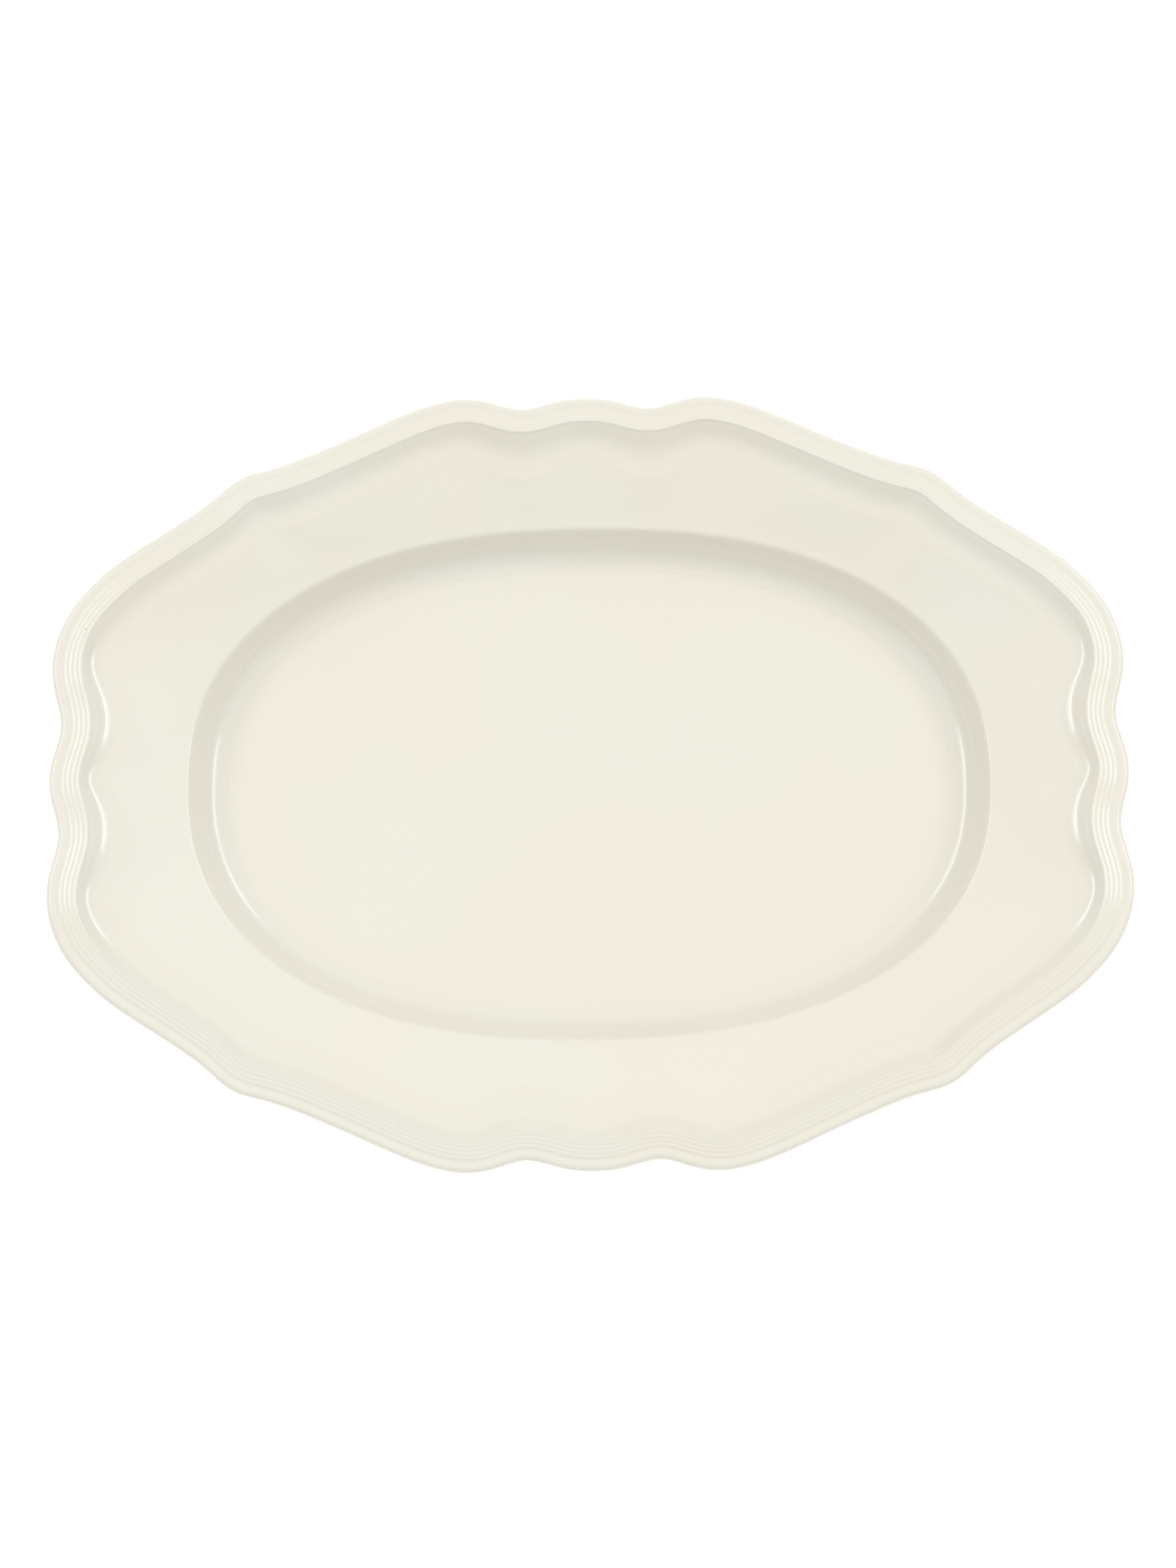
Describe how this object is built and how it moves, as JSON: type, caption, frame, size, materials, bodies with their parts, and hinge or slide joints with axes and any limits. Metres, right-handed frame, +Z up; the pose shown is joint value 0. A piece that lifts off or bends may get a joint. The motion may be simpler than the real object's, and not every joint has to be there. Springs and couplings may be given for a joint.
{
  "type": "oval serving platter",
  "caption": "Oval ivory china platter with a lobed reeded border, sloping flange, cove-sided flat well and oval foot ring, for serving food",
  "frame": {"origin": "on the table under the middle of the foot ring", "axes": "+X along the length of the platter, +Y across its width, +Z up out of the well"},
  "size_m": [0.43, 0.3138, 0.036],
  "materials": {
    "clay": "matte",
    "bare_foot": "matte",
    "glaze": "gloss"
  },
  "bodies": {
    "root": {"china_body": "clay", "foot_ring": "bare_foot", "face_glaze": "glaze", "back_glaze": "glaze", "recess_glaze": "glaze"}
  },
  "joints": []
}
